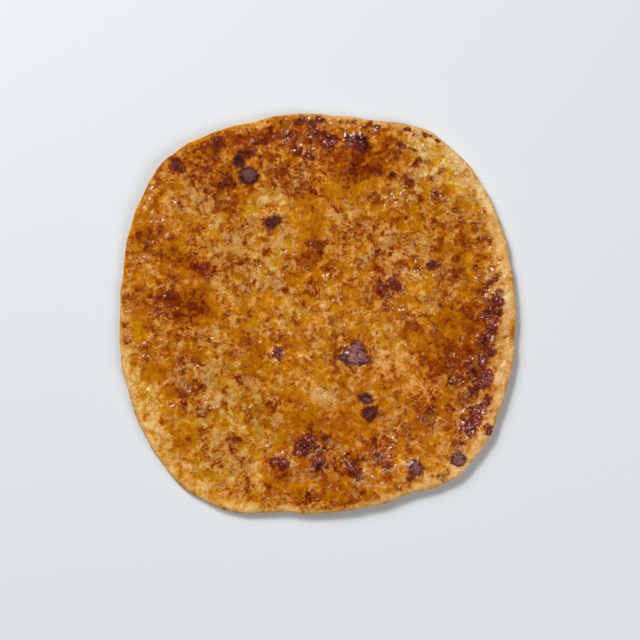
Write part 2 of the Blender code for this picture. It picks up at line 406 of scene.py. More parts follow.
# %% The toasted patches
TOASTED = (
    (-61, 78, 12, 6.5, 75, 35), (-55, 68.5, 9, 6, 65, 20), (-46.2, 66, 6.5, 5, 85, 60),
    (-43, 53.4, 6.5, 4.5, 80, 10), (-36.2, 55, 3, 3, 80), (-55.6, 61, 3.4, 3, 70),
    (-28, 88.8, 9, 5, 85, 10), (-15, 87.4, 6, 3.6, 75, 25), (-21.4, 78.2, 4, 4, 75),
    (-19.4, 70.8, 6, 6, 65, 40), (-8.8, 64.8, 8, 6, 75, -10), (-1.4, 35.4, 5, 7.5, 70),
    (-5.4, 28, 4, 4, 60), (-26.8, 29.2, 5, 6, 50), (-72.6, 37.6, 3.2, 3, 85), (-84.6, 39, 2.6, 2, 70),
    (-57, 22.6, 6, 5, 80), (-64.2, 27.2, 6, 5, 65), (-60, 38, 7, 6, 45, 30), (-67, 3, 12, 7, 85, -35),
    (-74, 8, 6, 4, 60, 30), (-57.2, -12.8, 6, 5, 50), (-94.4, -6.4, 4, 3, 60, 60),
    (-87.8, -17.2, 5.5, 3.2, 70, -10), (-64.8, -38.6, 6.5, 5, 85, -10), (-57.4, -36.6, 3.6, 2.6, 80),
    (-57, -58, 4, 3.4, 65), (-42.8, -63.2, 3.6, 5.4, 75, 15), (-67.4, -82, 5, 2.4, 50, -10),
    (-37.4, -73.4, 4, 3.4, 62, 30), (-36.8, -87.4, 5, 4, 62), (-22.8, -45.2, 3.8, 3.8, 62),
    (-40, -32.2, 3, 2, 75), (-65.2, -63, 5, 5, 50), (-2, 12.4, 4, 6, 62, -20),
    (12.6, 4.4, 5, 6, 62, 20), (42, 24.6, 5, 2.4, 70), (13.2, 36, 4.6, 4, 55, 40),
    (22, 20, 10, 12, 35, 10), (30, 40, 16, 10, 35, -20), (72, 52.6, 5, 6.4, 75, 20),
    (70.6, 46.6, 4.6, 5, 60), (78, 44.8, 3.6, 6, 75, 20), (73.2, 34.6, 4.4, 8, 75, 10),
    (81.4, 27, 5, 4.6, 60, 30), (84.4, 39.6, 4, 4.4, 65), (70, 21.6, 4.6, 4, 75),
    (95.4, 15.2, 2.8, 3.6, 60), (81.6, 21.8, 4.6, 4.6, 45), (58.6, -20.6, 9, 13, 85, -25),
    (48, -3, 6, 5, 60, 30), (36.6, -32.6, 6, 5, 50, 20), (56.6, -45.4, 8, 10, 62, 30),
    (45, -60, 7, 5, 60, 10), (34, -62.6, 8, 9, 70), (70, -66, 6, 3.6, 60, 10), (0.6, -64.6, 9, 6, 60),
    (14, -74, 8, 6, 70), (20, -92, 8, 3, 60, 15), (-4, -93, 6, 2.6, 70), (70, -36, 8, 14, 45, 20),
    (93, -24, 2.4, 7, 45), (56.4, -87, 8, 2.6, 45, 10), (8, 68, 10, 7, 35, 30), (60, 82, 8, 3, 30, -35),
    (-8, 74, 10, 5, 40), (70, 69, 4, 2, 80, -30), (61.5, 72, 4, 2.6, 75, -50),
    (66, 77, 3, 1.4, 55, -40), (77, 61, 2.2, 3.6, 65, 20), (82, 52, 2, 3.6, 60, 20),
)

# %% The pools of clarified butter, with their depth
POOLS = (
    (-74.5, 31, 9, 8, 75, 60), (-85, 38, 5, 5.5, 50), (-60, 5, 9, 13, 95, 15), (-57, -4, 6, 7, 70),
    (-88, 12.6, 5, 6, 60), (-88.6, -3, 5.5, 8, 60), (-17.6, 96.4, 8, 4, 60),
    (-61.5, 86.5, 11, 3, 55, 38), (-69.6, 62.8, 5, 2.4, 55), (-50.8, 40.6, 4, 4.6, 55),
    (-3, 50.5, 7, 12, 75), (-10.8, 20, 6.5, 6.5, 55), (-6.6, 7.6, 6, 6, 45), (26, 75, 15, 10, 80, -20),
    (18.2, 66.6, 7, 10, 90), (38, 82, 11, 8, 85, -20), (35.6, 91, 8, 5, 60, -10),
    (9.6, 62.8, 10, 8, 60, 20), (45.8, 49.6, 7, 6.5, 40), (61.2, 50.6, 5, 6, 30),
    (55.2, 61.4, 3.6, 4.4, 30), (64, 70, 4, 4, 55), (59.4, 80.8, 5, 3.6, 50),
    (67.2, 62.8, 5.4, 4.4, 35), (79.4, 47.2, 4.6, 7, 40, 15), (72, 40.6, 6, 7, 30),
    (66, 33.4, 10, 5.4, 50), (74.6, 27.2, 8, 6, 45), (52, 10.6, 11, 9, 45), (76.6, 7.2, 8, 8.5, 40),
    (70, -2.4, 13, 8, 40), (66.4, -16, 14, 9, 50), (73.2, -29.4, 8, 12, 50), (68.6, -36, 8, 9, 55),
    (37.8, -0.4, 7, 4.4, 30), (8.4, -30.6, 7, 3.4, 50), (53.2, -54, 9, 4.6, 40),
    (63.2, -48, 5.4, 5.4, 30), (-2.4, -54.8, 4.6, 6.4, 70), (9.6, -59.4, 10, 9, 55),
    (9.6, -76, 8, 11, 60), (4.4, -83, 10, 7, 60), (23, -56, 8, 6, 50), (-31, -25.4, 13, 5.4, 70),
    (-28.2, -17.8, 6.5, 6, 60), (-16.2, -39.8, 8.5, 4.4, 55), (-8.8, -49.4, 8, 7, 60),
    (-11.4, -60, 6.6, 6, 55), (-18.4, -81, 7.4, 5, 70), (-13.4, -85, 10, 5, 55),
    (-65.4, -57.6, 5, 8, 65), (-71.6, -48, 6, 3.4, 50), (-57, -20, 6, 4.6, 55),
    (-90, 46, 5, 15, 50, -12), (-43, -25, 9, 4, 50), (44, -38, 5, 9, 30), (-78.4, -21.2, 7, 10, 65),
    (-81.8, -28, 4.4, 7, 55), (-54.4, -83.4, 5.6, 4.4, 45), (-39.6, -58.8, 3.2, 2.2, 50),
    (5, -7, 7, 4, 40), (18, -92, 8, 4, 45), (48, 24, 5, 4, 45), (-2, -71, 10, 8, 50),
    (-78, 55, 5, 5, 45), (78, -60, 5, 6, 45),
)

# %% The dry patches, where flour dulls the dough
DRY = (
    (-61, 57.4, 14, 8, 80), (-41.6, 40, 6, 12, 90), (-36.8, 45.4, 6.5, 6.5, 70), (-47, 31.4, 6, 6, 60),
    (-83, 24.6, 8, 4.4, 75), (-21.4, 28, 9, 8, 55), (-30.4, 18, 10, 8, 50), (51.8, 34, 6.5, 7, 75),
    (52.6, 70.2, 6.5, 10, 85, 30), (18.8, 56.4, 4, 6, 55, -20), (46.6, 91.6, 13, 4.4, 65, -18),
    (68.6, 74.2, 6.4, 8.4, 20, 20), (76.4, 64.2, 8.4, 8.4, 20), (-53.6, -27.8, 6, 6, 80),
    (-50.2, -36.6, 11, 11, 65), (-43.4, -41.4, 13, 9, 60), (-57.6, -49.2, 7, 6, 85),
    (-48.2, -66, 9, 7, 60), (-43.8, -72.8, 13, 9, 65), (-23.4, -59.4, 8.6, 8.6, 60),
    (4.4, -41.4, 6, 7, 70), (59.6, -57.4, 9, 3.6, 60, 30), (67.6, -52.6, 3.6, 7, 55),
    (70, -86, 10, 6, 40, 20), (-20, 60, 7, 5, 40), (30, -12, 8, 6, 25), (45, 84, 10, 4, 60, -15),
    (40, 74, 7, 5, 60), (28, 64, 11, 3.6, 60, 20), (20, 58, 4, 6, 50), (75, 56, 11, 7, 20, -45),
    (80, 46, 4, 6, 40), (32, 52, 6, 8, 40), (41, 38, 5, 8, 40), (54, 50, 5, 10, 40), (63, 38, 6, 4, 35),
    (80, 24, 5, 6, 55), (81, 9, 4, 11, 50), (56, 18, 9, 3.6, 40), (42, -14, 9, 6, 50),
    (58, -20, 6, 9, 55, -15), (91, -15, 3, 10, 50), (80, -16, 4, 4, 40), (68, -40, 8, 5, 35),
    (62, -65, 8, 6, 45), (34, -60, 6, 5, 40), (-33, 54, 6, 6, 55), (-66, 47, 8, 5, 45),
    (-45, 48, 6, 8, 45), (-14, 34, 5, 9, 55), (-48, 12, 6, 5, 60), (-13, 3, 7, 7, 50),
    (-33, -5, 6, 5, 60), (-54, -15, 5, 8, 50, -15), (-26, -33, 5, 8, 40), (-78, -46, 9, 4, 45, -30),
    (-53, -82, 9, 4, 60), (-30, -67, 5, 8, 45, 30), (8, 28, 7, 4, 45, -30), (17, 2, 4, 7, 35),
    (7, 11, 5, 4, 45), (6, 63, 6, 4, 30), (34, 60, 18, 8, 45, 10), (-44, 52, 8, 9, 34),
    (56, -22, 7, 11, 42), (-33, -6, 7, 4, 36), (-58, 72, 13, 8, 34, 30), (76, 56, 8, 6, 45, -40),
    (66, 74, 7, 4, 36, -40), (-50, -36, 6, 5, 34), (80, 26, 5, 4, 34), (8, 26, 6, 5, 30),
    (22, -10, 5, 7, 30), (-24, 87, 8, 4, 34),
)

# %% Blisters that stayed whole, smooth and ashen on top
ASH = (
    (-34.8, 69.2, 4.6, 3.6, 86, -5), (70.3, -72.6, 3.8, 2.8, 84, 12), (48.8, -76.3, 3.9, 3.4, 66, -30),
    (18.4, -21.9, 7.7, 3.5, 70, -5), (17, -17.9, 5.8, 2.8, 60, 44), (21.2, -18, 5.6, 2.7, 66, -62),
    (57.2, 24.8, 4.4, 2, 36, 15), (-22.6, 46.5, 4.6, 2.8, 40, 30), (26.2, -49, 4.6, 3.2, 42, 8),
    (-39.8, 77, 4, 3.4, 52, 80), (-70.2, 73.8, 3.2, 2.4, 36, 75), (23.8, -41.8, 4.2, 2.8, 58, -15),
)

# %% Where the wet dough glistens, most where it blisters
SHINE = (
    (76, 62, 22, 40, 60, 25), (50, 78, 26, 16, 45, -25), (38, 60, 14, 7, 45, 15), (69, 67, 6, 5, 90),
    (6, 90, 28, 12, 42), (24, 74, 16, 12, 40), (80, -40, 18, 34, 60), (58, -56, 24, 16, 45, 20),
    (10, -76, 40, 16, 45), (-56, -34, 30, 24, 35), (-86, -20, 12, 50, 40), (-80, 40, 14, 22, 35),
    (-10, 10, 40, 30, 25), (60, 20, 26, 24, 45), (87, -1, 9, 26, 150), (83, -32, 10, 24, 150, -8),
    (78, -53, 9, 10, 150), (-3, 97, 7, 3, 120), (6.4, 86.6, 3.6, 3.2, 110), (23, 87, 3, 3, 60),
    (-20.4, -19.2, 4.5, 4.5, 130), (16, -21, 8, 5, 69, -20), (45, 83, 5, 3, 115), (-7, -66, 8, 7, 130),
    (-17, -74.4, 8, 6, 130), (1, -74.4, 7, 5, 130), (19, -78, 7, 7, 130), (33, -75, 7, 6, 120),
    (48, -77, 5, 5, 69),
)

# %% Soft tones over the whole bread, partly toast and partly painted light and shade: x, y, half length, half width, lighter (with painted light and shade), redder, turn
TONES_AND_PAINTED_LIGHT = (
    (58, 77, 16, 7, 200, -50, -45), (53, 67, 6, 6, 130), (77, 59, 8, 7, 210, -50, -50),
    (86, 34, 4, 8, 60, -40), (80, 25, 6, 4, 90), (91, 15, 5, 8, 100, -60), (31, 42, 6, 5, 120),
    (12, 35, 9, 4, 110), (3, 67, 14, 4, 80, 0, -10), (-32, 54, 7, 4, 80, -60, 30),
    (-16, 50, 4, 7, 60, -30), (-21, 27, 4, 9, 150, -80, -30), (-42, 13, 12, 5, 60, -40, 15),
    (-4, 16, 7, 4, 140, 40), (4, 5, 5, 8, 60), (16, 6, 5, 6, 120, -20), (-32, -6, 5, 5, 80, -40),
    (-54, -18, 5, 6, 60, -20), (-91, -6, 5, 8, 70, -30), (32, -30, 7, 9, 100, 50),
    (46, -26, 6, 8, 80, 30), (54, -40, 8, 5, 70, 70, -40), (2, -40, 10, 5, 100, -40, -20),
    (-87, -38, 6, 9, 100, -60, 30), (-48, -36, 12, 4, 60, -40), (-40, -60, 8, 7, 80, -60),
    (-62, -61, 9, 7, 60, -30), (-24, -62, 5, 4, 70, -50), (-52, -80, 15, 5, 90, -60, -10),
    (-41, -90, 7, 5, 110, 20), (35, -67, 6, 10, 110, 60), (50, -77, 8, 5, 90), (24, -80, 5, 5, 80, 30),
    (-11, -84, 4, 5, 80), (69, -78, 12, 5, 110, 20, 25), (87, -42, 4, 12, 110, 40, -15),
    (90, -20, 5, 5, 70, -40), (52, 0, 5, 4, 180), (46, 17, 9, 4, 80, -10, -20), (-28, 92, 7, 5, 60),
    (-44, 82, 11, 6, -130, 30, 30), (-75, 72, 12, 5, -70, 20, 45), (-30, 70, 8, 8, -70, -40),
    (-7, 92, 13, 7, -110, 30), (13, 88, 13, 8, -80, 70), (33, 91, 6, 5, -100, 30),
    (24, 76, 13, 9, -120, 90, -10), (-60, 4, 10, 14, -80, 20), (-75, 30, 9, 8, -20, 0, 60),
    (68, 2, 12, 14, -50), (8, 80, 8, 5, -40, 20), (-81, 50, 5, 8, -90, 70),
    (-91, 55, 5, 14, -40, 20, -20), (-85, 33, 6, 6, -110, -10), (-75, 16, 5, 8, -90, 10),
    # Darker rows at the left edge, such as (-84, 5) and (-98, 4), are painted shade against the light
    # the lip catches from the window.
    (-84, 5, 8, 6, -110, 30, -30), (-98, 4, 4, 20, -110, 40), (-40, 42, 5, 5, -100, -30),
    (-46, 26, 5, 5, -90, -40), (-59, 22, 8, 4, 30, 70), (-5, 27, 6, 6, -70), (8, 22, 6, 3, -100),
    (30, 7, 8, 5, -150), (36, 20, 8, 6, -20, 60), (42, 54, 8, 4, -110, -20, 15),
    (61, 47, 6, 5, -60, -40), (66, 13, 6, 9, -100, 0, 10), (79, -8, 6, 13, -120, 10, -10),
    (95, -6, 5, 4, -170, 40), (68, -27, 9, 8, -110, 20), (-34, -15, 5, 4, -100, 20, 20),
    # (-16.5, -15.5) is a painted shadow beside the blister at (-20.4, -19.2).
    (-16.5, -15.5, 3, 4.5, -160, 70, -30), (-65, -20, 6, 7, -70, 10), (-33, -48, 5, 5, -90),
    (-67, -44, 5, 4, -20, 100), (14, -54, 6, 7, -80, 50), (50, -57, 10, 11, -60, 50),
    (-20, -75, 5, 5, -100, 60), (0, -79, 10, 5, -90, 60, -25), (-13, -93, 12, 5, -60, 70),
    # (78, -74) is painted light on the lower-right lip, which faces away from the lights.
    (24, -88, 10, 4, -50, 50, 10), (78, -74, 5, 12, 80, 0, -45), (-48, -91, 6, 5, -70, 40),
    (50, -58, 36, 24, 0, 90, -15), (4, -70, 22, 14, 0, 100), (84, -30, 9, 40, 0, 90),
    (19, -20, 6, 5, 100), (44, -65, 9, 5, 70, 20), (-4, 68, 5, 4, 70), (13, 49, 4, 5, 80),
    (20, 22, 4, 5, 110), (44, 14, 4, 6, 100), (7, 11, 6, 4, 70), (-62, 78, 6, 8, 70),
    (-34, 94, 5, 4, 90), (11, 90, 4, 3, 90), (78, 42, 6, 7, 80), (-58, 40, 12, 4, 70),
    (-94, -4, 4, 14, 70), (-95, 22, 4, 5, 70), (62, 61, 5, 6, -130), (38, 80, 9, 4, -100),
    (76, -18, 5, 6, -80), (74, -46, 5, 6, -90, 20), (80, 9, 6, 4, -110), (-80, -3, 6, 6, -100),
    (-18, -82, 5, 4, -120), (8, -28, 5, 4, -90), (47, 34, 5, 3, -80), (62, 32, 5, 4, -80),
    (-28, 15, 6, 3, -90), (44, -79, 4, 4, -90), (-60, 58, 7, 4, -80), (-28, 42, 4, 5, -70),
    (-60, -10, 5, 8, 80), (-47, 3, 5, 5, 70), (-28, 4, 5, 4, 80), (7, -20, 4, 5, -60),
    (1, -29, 4, 8, 100), (61, 9, 4, 7, 60), (35, -13, 5, 5, 70), (53, -35, 6, 8, 60),
    (42, -88, 8, 3, 60), (28, -19, 3, 4, -100), (22, -44, 6, 3, -50), (-8, -55, 11, 4, -80),
    (-52, 90, 6, 3, -90), (28, -72, 5, 4, -70, 50), (-15, 16, 5, 5, -80), (73, 25, 5, 4, -60),
    (75, -33, 6, 5, -70), (-64, -26, 5, 4, -80), (-77, -22, 5, 6, -70), (-30, -35, 5, 4, -70),
    (70, -72, 4, 3, -80), (91, 5, 8, 5, 150, 0, 20), (65, 75, 8, 5, 130, -30, -40), (90, 20, 4, 4, 70),
    (31, -3, 10, 4, 90, 0, 20), (-27, -73, 6, 5, 80), (-80, -48, 4, 10, 70, -20, 30),
    (34, -60, 11, 6, 50, 20), (67, -62, 4, 6, 70, 20), (-42, 66, 14, 12, 0, -40),
    (40, 58, 10, 6, 0, -60), (37, 14, 7, 7, 20, 60), (-44, 42, 20, 16, 0, -40),
    (-40, -46, 20, 18, 0, -40), (54, 46, 14, 16, 0, -40),
)

# %% Each list becomes loose points, which keep the marks' sizes as attributes
def marks_object(name, rows, strengths):
    """One point for each mark, which keeps the mark's sizes; a row that stops early ends in 0."""
    fields = ("half_length", "half_width", *strengths, "turn")
    rows = [row + (0,) * (2 + len(fields) - len(row)) for row in rows]
    data = bpy.data.meshes.new(name)
    data.from_pydata([(Vector((*row[:2], 0)) - MIDDLE) * MM for row in rows], [], [])
    for column, field in enumerate(fields, start=2):
        parts = 100 if field in strengths else 1
        values = data.attributes.new(field, "FLOAT", "POINT")
        values.data.foreach_set("value", [row[column] / parts for row in rows])
    print(f"{name}: {len(rows)} marks")
    return new_object(name, data)


marks = {name: marks_object(name, rows, strengths) for name, rows, *strengths in (
    ("Scorches", SCORCHES + EDGE_CHAIN, "strength", "lift"), ("Toasted", TOASTED, "strength"),
    ("Pools", POOLS, "strength"), ("Dry", DRY, "strength"), ("Shine", SHINE, "strength"),
    ("Ash", ASH, "strength"), ("Tones", TONES_AND_PAINTED_LIGHT, "lighter", "redder"),
)}

# %% [markdown]
# All Geometry Nodes trees here start and end alike, so a few functions take up what repeats.

# %% Helpers for Geometry Nodes trees
SOFT_TOP = 0.3 * MM


def group_tree(name, **inputs):
    """An empty Geometry Nodes group, its Graph and its ends; inputs are labels by kind of socket."""
    tree = bpy.data.node_groups.new(name, "GeometryNodeTree")
    for kind, labels in inputs.items():
        for label in labels.split(", "):
            tree.interface.new_socket(label, in_out="INPUT", socket_type="NodeSocket" + kind)
    tree.interface.new_socket("Geometry", in_out="OUTPUT", socket_type="NodeSocketGeometry")
    graph = Graph(tree)
    return graph, tree.nodes.new("NodeGroupInput").outputs, tree.nodes.new("NodeGroupOutput")


def place_in_mm(graph):
    return graph.scaled(graph.add("GeometryNodeInputPosition"), 1 / MM)


def set_under(graph, geometry, place, rise, top):
    """The geometry's points at place, raised by rise in millimetres, but softly kept under top."""
    across, along, up = graph.add("ShaderNodeSeparateXYZ", {"Vector": place}).node.outputs
    up = graph.math("SMOOTH_MIN", graph.times_plus(rise, MM, up), top, SOFT_TOP)
    place = graph.add("ShaderNodeCombineXYZ", {0: across, 1: along, 2: up})
    return graph.add("GeometryNodeSetPosition", {"Geometry": geometry, "Position": place})


def closed(graph, geometry, given, result):
    """The whole tree, once it gives this geometry the material."""
    geometry = graph.add("GeometryNodeRealizeInstances", {"Geometry": geometry})
    inputs = {"Geometry": geometry, "Material": given["Material"]}
    graph.fill(result, {"Geometry": graph.add("GeometryNodeSetMaterial", inputs)})
    return graph.tree

# %% [markdown]
# A Repeat Zone goes through one list of marks. On each round it looks up one mark, works out how far
# every point of the bread is from it, in units of the oval's own size, and keeps the strongest value so
# far in a named attribute. The same small tree serves every kind of mark.

# %% The tree that stamps a list of marks
FAR = 1.0e6  # an oval is a column: height doesn't count


def stamp_tree(name, gathering):
    """A group that stamps marks onto an attribute; gathering is how two marks that overlap combine."""
    graph, given, result = group_tree(
        name, Geometry="Geometry, Marks", String="Attribute, Field", Float="Softness, Raggedness"
    )
    count = graph.add("GeometryNodeAttributeDomainSize", {"Geometry": given["Marks"]}, component="MESH")
    start = graph.tree.nodes.new("GeometryNodeRepeatInput")
    end = graph.tree.nodes.new("GeometryNodeRepeatOutput")
    start.pair_with_output(end)
    zeroed = graph.keep(given["Geometry"], given["Attribute"], 0)
    graph.fill(start, {"Iterations": count, "Geometry": zeroed})

    def of_mark(value, data_type="FLOAT"):
        inputs = {"Geometry": given["Marks"], "Value": value, "Index": start.outputs["Iteration"]}
        return graph.add("GeometryNodeSampleIndex", inputs, data_type=data_type)

    centre = of_mark(graph.add("GeometryNodeInputPosition"), "FLOAT_VECTOR")
    wobble = graph.scaled(graph.kept("wobble", "FLOAT_VECTOR"), given["Raggedness"])
    apart = graph.vector("SUBTRACT", place_in_mm(graph), graph.scaled(centre, 1 / MM))
    apart = graph.vector("ADD", apart, wobble)
    turn = graph.math("RADIANS", of_mark(graph.kept("turn")))
    inputs = {"Vector": apart, "Angle": graph.times(turn, -1)}
    turned = graph.add("ShaderNodeVectorRotate", inputs, rotation_type="Z_AXIS")
    length, width = (of_mark(graph.kept(name)) for name in ("half_length", "half_width"))
    size = graph.add("ShaderNodeCombineXYZ", {0: length, 1: width, 2: FAR})
    away = graph.vector("LENGTH", graph.vector("DIVIDE", turned, size), out=1)
    rim = graph.minus(1, given["Softness"]), graph.plus(1, given["Softness"])
    cover = graph.minus(1, graph.step(away, *rim))
    cover = graph.times(cover, of_mark(graph.kept(given["Field"])))
    window_side_lip_shade = graph.math(gathering, cover, graph.kept(given["Attribute"]))
    stamped = graph.keep(start.outputs["Geometry"], given["Attribute"], window_side_lip_shade)
    graph.fill(end, {"Geometry": stamped})
    graph.fill(result, {"Geometry": end.outputs["Geometry"]})
    return graph.tree


STRONGEST = stamp_tree("stamp_strongest", "MAXIMUM")
SUM = stamp_tree("stamp_sum", "ADD")
print("stamp tree:", len(SUM.nodes), "nodes")

# %% [markdown]
# ## Relief and clarified butter
#
# Fried dough is lumpy at several scales: soft hills as wide as a thumb, lumps of a few millimetres, and
# fine wrinkles. Melted butter runs into the hollows and sets the lowest level of the surface, so a
# pool is flat and glossy, and the dough that stands out of it is rough. The tree adds up noise for the
# dough's height, works out the butter's level from the list of pools, and keeps the higher of the two.

# %% The tree that shapes the surface: first the marks
graph, given, result = group_tree(
    "fried_surface", Geometry="Geometry", Material="Material",
    Object="Scorches, Toasted, Pools, Dry, Tones, Shine, Ash",
    Float="Hill Height, Lump Height, Wrinkle Height, Dry Level, Top",
)
step, noise, plus, minus = graph.step, graph.noise, graph.plus, graph.minus
times, times_plus = graph.times, graph.times_plus
place = place_in_mm(graph)
wobble = noise(place, 5, 2.5, 0.6, seed=3.1, out=1)
wobble = graph.vector("SUBTRACT", wobble, (0.5, 0.5, 0.5))
geometry = graph.keep(given["Geometry"], "wobble", wobble, "FLOAT_VECTOR")


def stamp(geometry, marks, name, softness, raggedness, field="strength", tree=STRONGEST):
    points = graph.add("GeometryNodeObjectInfo", {"Object": given[marks]}, "Geometry")
    return graph.add("GeometryNodeGroup", {
        "Geometry": geometry, "Marks": points, "Attribute": name, "Field": field,
        "Softness": softness, "Raggedness": raggedness,
    }, node_tree=tree)


for how in (
    ("Scorches", "scorch", 0.55, 5), ("Scorches", "char", 0.95, 3),
    ("Scorches", "dome", 0.6, 3, "lift"), ("Toasted", "toast", 0.55, 9),
    ("Pools", "pool", 0.45, 9), ("Dry", "dry", 0.55, 9), ("Shine", "shine", 0.6, 6),
    ("Ash", "ash", 0.8, 3), ("Tones", "lighter", 0.95, 6, "lighter", SUM),
    ("Tones", "redder", 0.95, 6, "redder", SUM),
):
    geometry = stamp(geometry, *how)
print("stamps:", len(graph.tree.nodes), "nodes")

# %% The dough's height: hills, lumps, wrinkles and the domes of the scorches, in millimetres
hills = minus(noise(place, 11, 1.5, seed=1), 0.5)
lumps = minus(noise(place, 3.6, seed=2, distortion=0.4), 0.5)
wrinkles = noise(place, 1.5, 1.5, seed=4, distortion=0.8)
creases = graph.math("ABSOLUTE", minus(wrinkles, 0.5))
inset, upper = graph.kept("inset"), graph.kept("upper")
wide_fade = step(inset, 0.5, 9)
narrow_fade = step(inset, 0.3, 3)
narrow_fade = times(narrow_fade, step(graph.kept("ash"), 0.1, 0.6, 1, 0.3))
hilly = times(hills, times(given["Hill Height"], wide_fade))
lumpy = times(lumps, times(given["Lump Height"], narrow_fade))
fine = times(times(minus(0.12, creases), given["Wrinkle Height"]), narrow_fade)
dome = times(graph.kept("dome"), wide_fade)
height = plus(plus(hilly, lumpy), plus(fine, dome))
print("with the dough:", len(graph.tree.nodes), "nodes")

# %% The butter's level, and the higher of the two
MENISCUS = 0.12  # how softly the butter climbs the dough, in millimetres
level = times_plus(graph.kept("pool"), 0.75, given["Dry Level"])
level = minus(level, times(graph.kept("dry"), 0.35))
level = minus(level, step(inset, 7, 0.5, 0, 0.8))
depth = minus(level, height)
surface = graph.math("SMOOTH_MAX", height, level, MENISCUS)
underside = graph.larger(times_plus(noise(place, 4, 3, 0.6, seed=8), 0.5, -0.18), 0)
offset = graph.mix(upper, underside, surface)
geometry = graph.keep(geometry, "butter", graph.mix(upper, -1, depth))
place = graph.add("GeometryNodeInputPosition")
geometry = set_under(graph, geometry, place, offset, given["Top"])
fried_surface = closed(graph, geometry, given, result)
print("surface tree:", len(fried_surface.nodes), "nodes")

# %% [markdown]
# ## The crust's material
#
# Toasting takes dough along one line of colours, from cream through gold and red-brown to nearly black.
# So the material first works out one number, how toasted each point is, and a colour ramp turns it into
# colour. Butter then glazes the low places amber, darker where it is deeper, and makes them glossy.

# %% Colours, as everyday 0 to 255 values turned into Blender's linear ones
def linear(red, green, blue):
    def channel(value):
        value /= 255
        return value / 12.92 if value <= 0.04045 else ((value + 0.055) / 1.055) ** 2.4

    return (channel(red), channel(green), channel(blue), 1)


TOASTING = (  # how toasted, and the colour of dry dough there
    (0, 244, 210, 150), (0.16, 232, 188, 116), (0.3, 217, 162, 84), (0.44, 197, 134, 52),
    (0.56, 170, 98, 26), (0.68, 141, 63, 14), (0.8, 108, 38, 12), (0.9, 68, 23, 18), (1, 28, 13, 20),
)
SOAKED = linear(242, 216, 62)  # what butter in the dough lets through
BUTTER = (linear(198, 134, 6), linear(178, 106, 0), linear(104, 34, 0))  # thin to deep
FLOURY = linear(184, 140, 80)
RAW = linear(178, 138, 88)
CURD = linear(226, 174, 112)
CHARRED = (linear(148, 72, 34), linear(108, 40, 20), linear(56, 16, 12))  # less to more
ASHEN = (linear(70, 34, 30), linear(124, 76, 70), linear(118, 98, 96))
BLISTERED = (linear(148, 60, 28), linear(122, 44, 28), linear(84, 26, 24))


def new_material(name):
    """A material, its Graph and its shader."""
    material = bpy.data.materials.new(name)
    material.use_nodes = True
    return material, Graph(material.node_tree), material.node_tree.nodes["Principled BSDF"]


print("colours:", len(TOASTING), "of toasting, and", linear(255, 255, 255), "for white")

# %% The crust's marks and its noise, from patches down to crumbs
fried_crust, graph, shader = new_material("fried_crust")
step, noise, blend, larger = graph.step, graph.noise, graph.mix_colour, graph.larger
plus, minus, times, times_plus = graph.plus, graph.minus, graph.times, graph.times_plus
place = graph.scaled(graph.add("ShaderNodeTexCoord", out="Object"), 1 / MM)
toast, butter, dry, pale = map(graph.field, ("toast", "butter", "dry", "pale"))
# The tones' lightness includes painted light and shade on the lip and a painted shadow beside a
# blister.
lighter, redder, upper, inset = map(graph.field, ("lighter", "redder", "upper", "inset"))
hot = ("scorch", "char", "shine", "ash")  # marks that belong to the upper side only
scorch, char, shine, ash = (times(graph.field(name), upper) for name in hot)


def swing(noise, amount, base):
    """The noise's swing about its middle, times amount, added to base."""
    return times_plus(minus(noise, 0.5), amount, base)


patches = noise(place, 14, seed=11)
mottle = noise(place, 5.5, 2.5, 0.55, seed=12, distortion=0.5)
freckles = noise(place, 4.8, seed=13, distortion=0.6)
specks = noise(place, 2.6, 1, seed=16, distortion=0.4)
crumb = noise(place, 1.5, 1, seed=15, distortion=0.8)
# The dough's tufts: soft lumps with curly strings of crumb between them
lumps = noise(place, 4.8, 2, 0.55, seed=14, distortion=1)
curls = noise(place, 5.2, 1, seed=19, distortion=0.8)
string = step(graph.math("ABSOLUTE", minus(curls, 0.5)), 0.05, 0)
tufts = times_plus(string, 0.12, minus(lumps, 0.04))
# Curds: pale crumbs in clumps, most where the dough is wet
curds = noise(place, 1.9, 1, seed=29, distortion=0.5)
clumps = noise(place, 8, 1.5, seed=28)
clumps = plus(clumps, step(shine, 0.25, 0.55, -0.09, 0.03))
curds = times(step(clumps, 0.5, 0.6), step(curds, 0.46, 0.58))
relief = times_plus(curds, 0.25, times_plus(crumb, 0.3, tufts))
print("marks and noise:", len(graph.tree.nodes), "nodes")

# %% [markdown]
# How toasted the dough is adds up from the list of patches and from noise: the tops of its tufts stay
# pale and the gaps between them take colour. Freckles are a noise's peaks, more where it is toasted.
# Scorches are ragged ovals with a browner rim. Dry flour and raw dough then pale what isn't toasted.

# %% How toasted the dough is
toasted = swing(patches, 0.25, 0.44)
rough = times_plus(shine, 0.25, times_plus(pale, -0.45, 1))
grain = swing(crumb, -0.42, swing(mottle, 0.7, swing(tufts, -0.95, 0)))
toasted = times_plus(grain, rough, toasted)
for mark, amount in ((toast, 0.23), (pale, -0.22), (dry, -0.06), (lighter, -0.13)):
    toasted = times_plus(mark, amount, toasted)
line = times_plus(toast, -0.18, swing(patches, -0.15, 0.645))
line = times_plus(pale, 0.1, line)
freckle = step(minus(freckles, line), -0.02, 0.13)
freckle = larger(freckle, step(minus(specks, plus(line, 0.06)), 0, 0.06))
toasted = times_plus(freckle, 0.21, toasted)
toasted = graph.math("SMOOTH_MIN", toasted, 0.74, 0.15)
edge = swing(tufts, -1, swing(mottle, 1.5, swing(freckles, 1.2, scorch)))
rim = step(larger(edge, swing(mottle, 0.6, times(ash, 1.4))), 0.05, 0.5)
toasted = times_plus(rim, 0.14, toasted)
burnt = step(edge, 0.34, 0.78)

